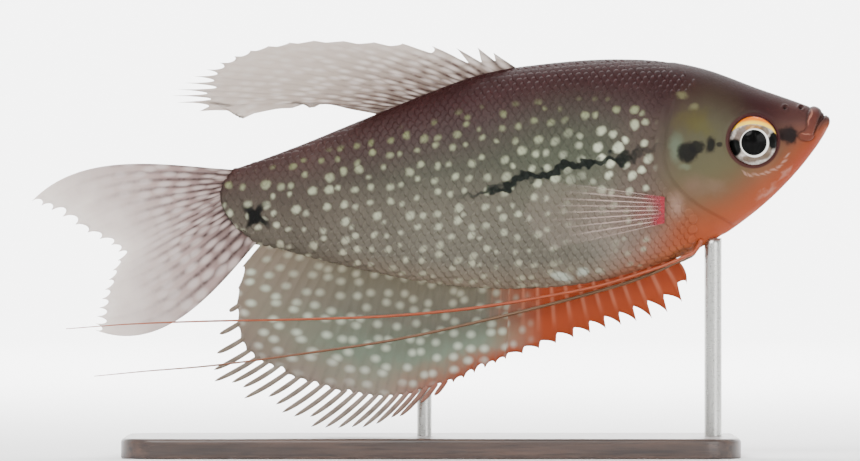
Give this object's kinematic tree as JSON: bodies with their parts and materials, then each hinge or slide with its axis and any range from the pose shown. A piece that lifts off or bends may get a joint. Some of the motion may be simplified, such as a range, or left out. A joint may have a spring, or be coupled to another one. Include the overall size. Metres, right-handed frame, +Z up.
{
  "type": "pearl gourami",
  "caption": "Adult male pearl gourami, a still life-size fish with long trailing feelers and combed fins, held over a flat plate by slim rods.",
  "frame": {"origin": "on the floor under the middle of the whole model, at the underside of the base plate", "axes": "+X towards the fish's snout, +Y to its left side, +Z up"},
  "size_m": [0.1197, 0.044, 0.0624],
  "materials": {
    "head_skin": "moist fish skin, brown over olive, soft sheen",
    "flank_skin": "fine scales, grey-brown with pale round spots, soft sheen",
    "gill_cover_skin": "smooth skin over bone, olive to orange, soft sheen",
    "jaw_skin": "smooth orange skin, soft sheen",
    "lip_skin": "smooth dark brown skin, moist",
    "eye": "silver iris with a black pupil under a clear wet front",
    "clear_fin": "thin ribbed membrane, pale grey, part see-through",
    "orange_fin": "thin ribbed membrane, orange, part see-through",
    "spotted_fin": "thin ribbed membrane, grey-green with pale spots, part see-through",
    "brown_feeler": "soft brown thread",
    "orange_feeler": "soft orange thread",
    "stand_plate": "dark stained beech, satin varnish",
    "stand_steel": "thin brushed steel rod"
  },
  "bodies": {
    "root": {"head": "head_skin", "trunk": "flank_skin", "tail_stalk": "flank_skin", "gill_cover_left": "gill_cover_skin", "gill_cover_right": "gill_cover_skin", "jaw_lower": "jaw_skin", "lip_upper": "lip_skin", "eye_left": "eye", "eye_right": "eye", "dorsal_fin": "clear_fin", "caudal_fin": "clear_fin", "anal_fin_front": "orange_fin", "anal_fin_rear": "spotted_fin", "pectoral_fin_left": "clear_fin", "pectoral_fin_right": "clear_fin", "pelvic_feeler_left": "brown_feeler", "pelvic_feeler_right": "orange_feeler", "stand_base": "stand_plate", "stand_rod_front": "stand_steel", "stand_rod_rear": "stand_steel"}
  },
  "joints": []
}
